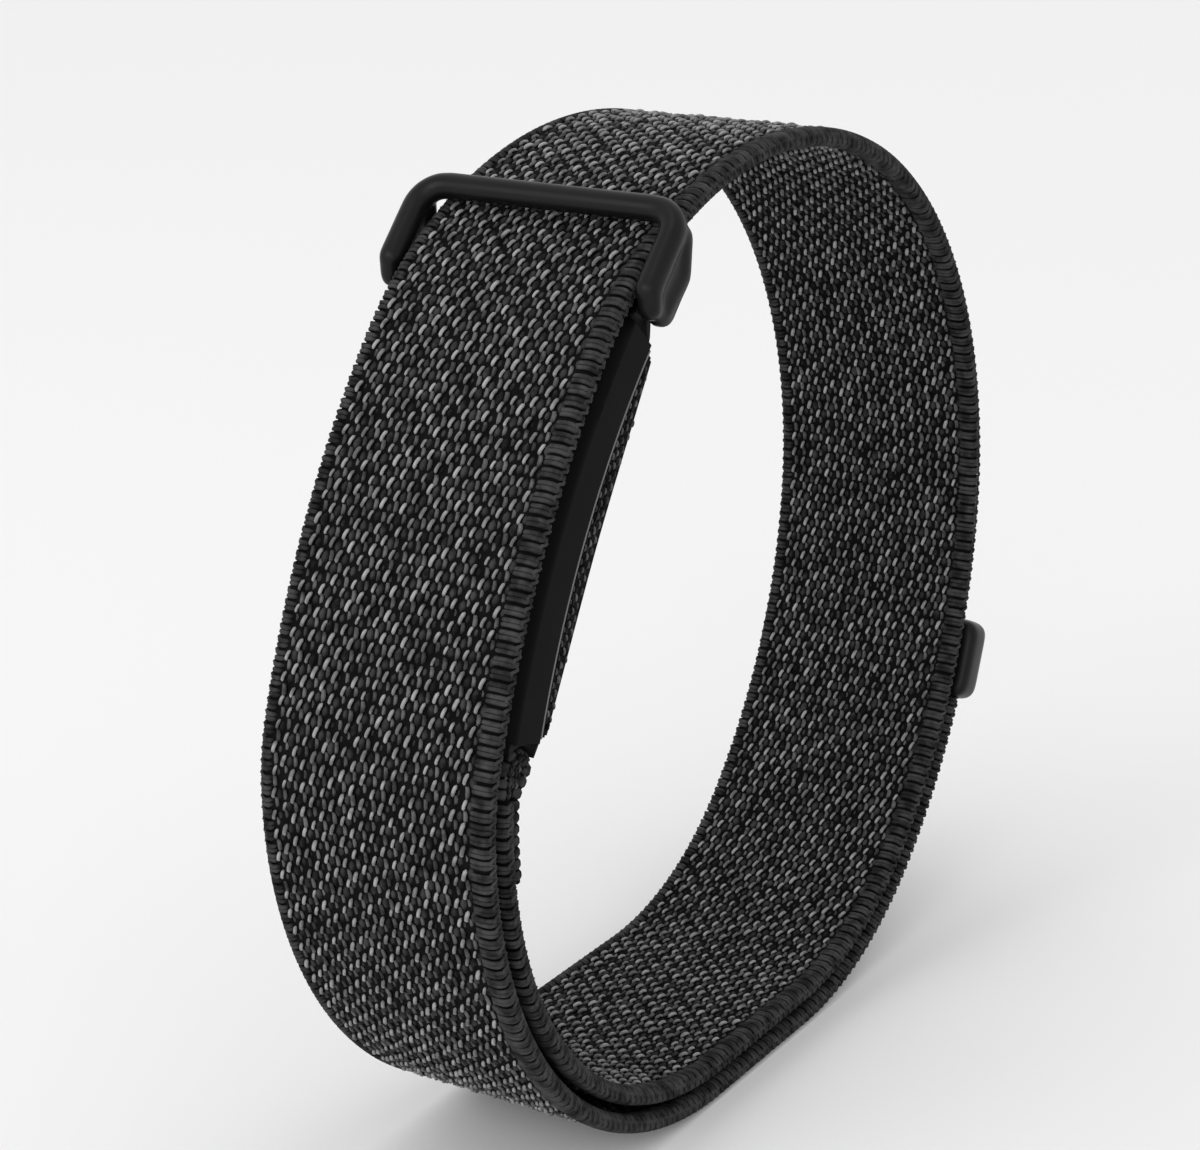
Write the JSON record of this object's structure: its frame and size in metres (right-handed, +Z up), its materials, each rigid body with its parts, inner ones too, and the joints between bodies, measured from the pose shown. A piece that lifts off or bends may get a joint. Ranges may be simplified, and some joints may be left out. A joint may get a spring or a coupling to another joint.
{
  "type": "woven watch strap",
  "caption": "Woven fabric wrist strap wrapped round a slim curved sensor pod, with a swing clasp that holds it and a free tail ending in a bar.",
  "frame": {"origin": "middle of the flat that the strap stands on, at half the strap's width", "axes": "+Y along the strap's width, +Z up with the clasp near the top, -X on the side of the pod"},
  "size_m": [0.0745, 0.0216, 0.0704],
  "materials": {
    "webbing": "black and grey knitted webbing",
    "thread": "black sewing thread",
    "hook_tape": "black hook tape",
    "pad_knit": "black knitted pad",
    "coated_metal": "satin black coating",
    "black_aluminium": "satin black anodised",
    "bar_metal": "plain grey",
    "dark_steel": "blackened steel",
    "pod_shell": "matte black plastic",
    "gasket_rubber": "grey rubber",
    "dark_window": "smoked gloss plastic",
    "led_lens": "pale green lens",
    "board_laminate": "green laminate",
    "cell_foil": "silver foil",
    "contact_metal": "gold-coloured plating"
  },
  "bodies": {
    "strap": {"inner_wrap": "webbing", "crown_wrap": "webbing", "outer_wrap": "webbing", "pod_loop": "webbing", "loop_stitching": "thread", "strap_bar": "bar_metal", "pod_cover": "pod_shell", "pod_gasket": "gasket_rubber", "pod_back": "pod_shell", "comfort_pad": "pad_knit", "optical_window": "dark_window", "sensor_carrier": "pod_shell", "sensor_leds": "led_lens", "photodiodes": "dark_window", "circuit_board": "board_laminate", "battery": "cell_foil", "vibration_motor": "cell_foil", "charge_contacts": "contact_metal", "case_screws": "dark_steel"},
    "clasp": {"clasp_frame": "black_aluminium", "clasp_pin": "dark_steel"},
    "tail": {"tail_webbing": "webbing", "tail_tip": "webbing", "hook_patch": "hook_tape", "end_bar": "coated_metal", "end_rivets": "dark_steel"}
  },
  "joints": [
    {"name": "clasp_hinge", "type": "hinge", "parent": "strap", "child": "clasp", "pos_m": [-0.01819, 0, 0.06185], "axis": [0, -1, 0], "range_deg": [0, 80]},
    {"name": "tail_peel", "type": "hinge", "parent": "strap", "child": "tail", "pos_m": [0.02717, 0, 0.00942], "axis": [0, 1, 0], "range_deg": [0, 40]}
  ]
}
